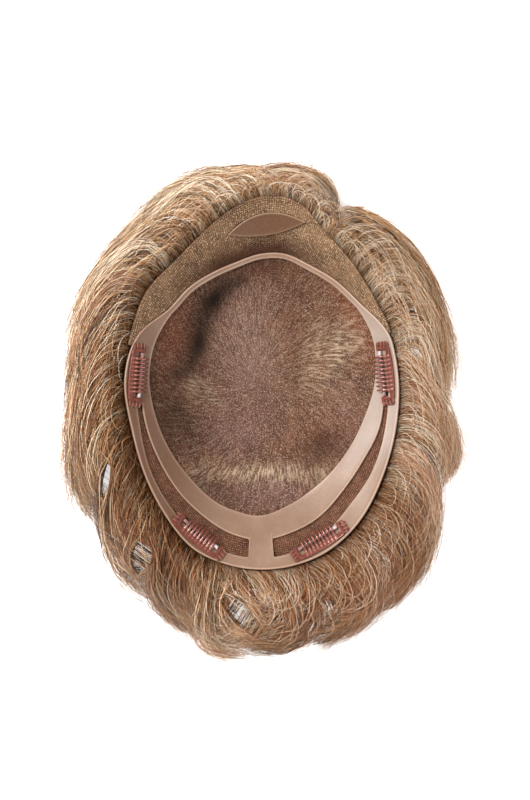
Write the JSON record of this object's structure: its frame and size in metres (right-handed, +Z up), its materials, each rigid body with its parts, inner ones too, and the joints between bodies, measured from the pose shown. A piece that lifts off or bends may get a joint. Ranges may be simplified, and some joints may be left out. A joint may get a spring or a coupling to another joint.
{
  "type": "toupee hairpiece",
  "caption": "Toupee lying crown down on its wavy hair: a mono and lace bowl in a poly frame with mesh windows and snap comb clips, open upward for the head.",
  "frame": {"origin": "middle of the bounding box's bottom face, on the hair's flat resting face", "axes": "+Z up out of the hollow for the head, +Y from the nape toward the front hairline, +X toward the wearer's left"},
  "size_m": [0.1954, 0.236, 0.0552],
  "materials": {
    "mono": "fine brown monofilament gauze",
    "lace": "fine brown lace net",
    "poly": "satin polyurethane film",
    "mesh": "reddish brown welded mesh",
    "copper": "copper brown enamel on spring steel",
    "silicone": "milky clear silicone",
    "hair": "wavy light brown hair with golden strands"
  },
  "bodies": {
    "root": {"mono_top": "mono", "lace_front": "lace", "front_tab": "poly", "poly_frame": "poly", "mesh_window_left": "mesh", "mesh_window_right": "mesh", "clip_left": "copper", "clip_left_sleeve": "silicone", "clip_right": "copper", "clip_right_sleeve": "silicone", "clip_back_left": "copper", "clip_back_left_sleeve": "silicone", "clip_back_right": "copper", "clip_back_right_sleeve": "silicone", "hair": "hair"}
  },
  "joints": []
}
